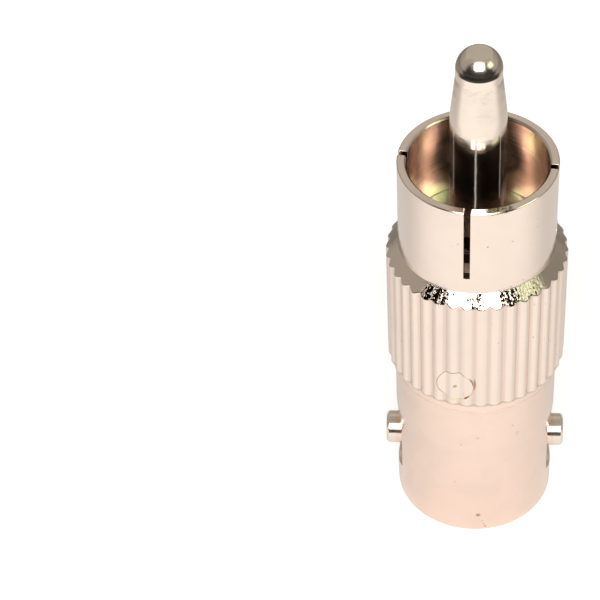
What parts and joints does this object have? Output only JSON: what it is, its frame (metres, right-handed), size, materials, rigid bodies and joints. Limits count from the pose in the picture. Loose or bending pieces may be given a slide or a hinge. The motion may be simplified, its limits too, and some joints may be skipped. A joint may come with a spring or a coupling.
{
  "type": "bnc to rca adapter",
  "caption": "Straight coaxial adapter: bayonet socket with two lugs at one end, phono plug with a slotted shell and centre pin at the other, knurled collar between.",
  "frame": {"origin": "centre of the bayonet socket's mouth rim, in the plane of the rim on which the adapter stands", "axes": "+Z along the shared axis of all pieces, from the socket's mouth to the tip of the plug's pin; +X through one bayonet lug; +Y completes the right-handed frame"},
  "size_m": [0.011, 0.0106, 0.034],
  "materials": {
    "body_plating": "warm nickel plate over metal, semi-bright",
    "barrel_plating": "warm nickel plate over metal, semi-bright",
    "pin_plating": "warm nickel plate over turned metal, bright",
    "contact_plating": "nickel plate over turned metal, bright",
    "socket_insulator": "white insulating plastic, matte",
    "plug_insulator": "black insulating plastic, matte"
  },
  "bodies": {
    "root": {"knurled_body": "body_plating", "bnc_barrel": "barrel_plating", "bnc_insulator": "socket_insulator", "socket_contact": "contact_plating", "rca_insulator": "plug_insulator", "rca_pin": "pin_plating"}
  },
  "joints": []
}
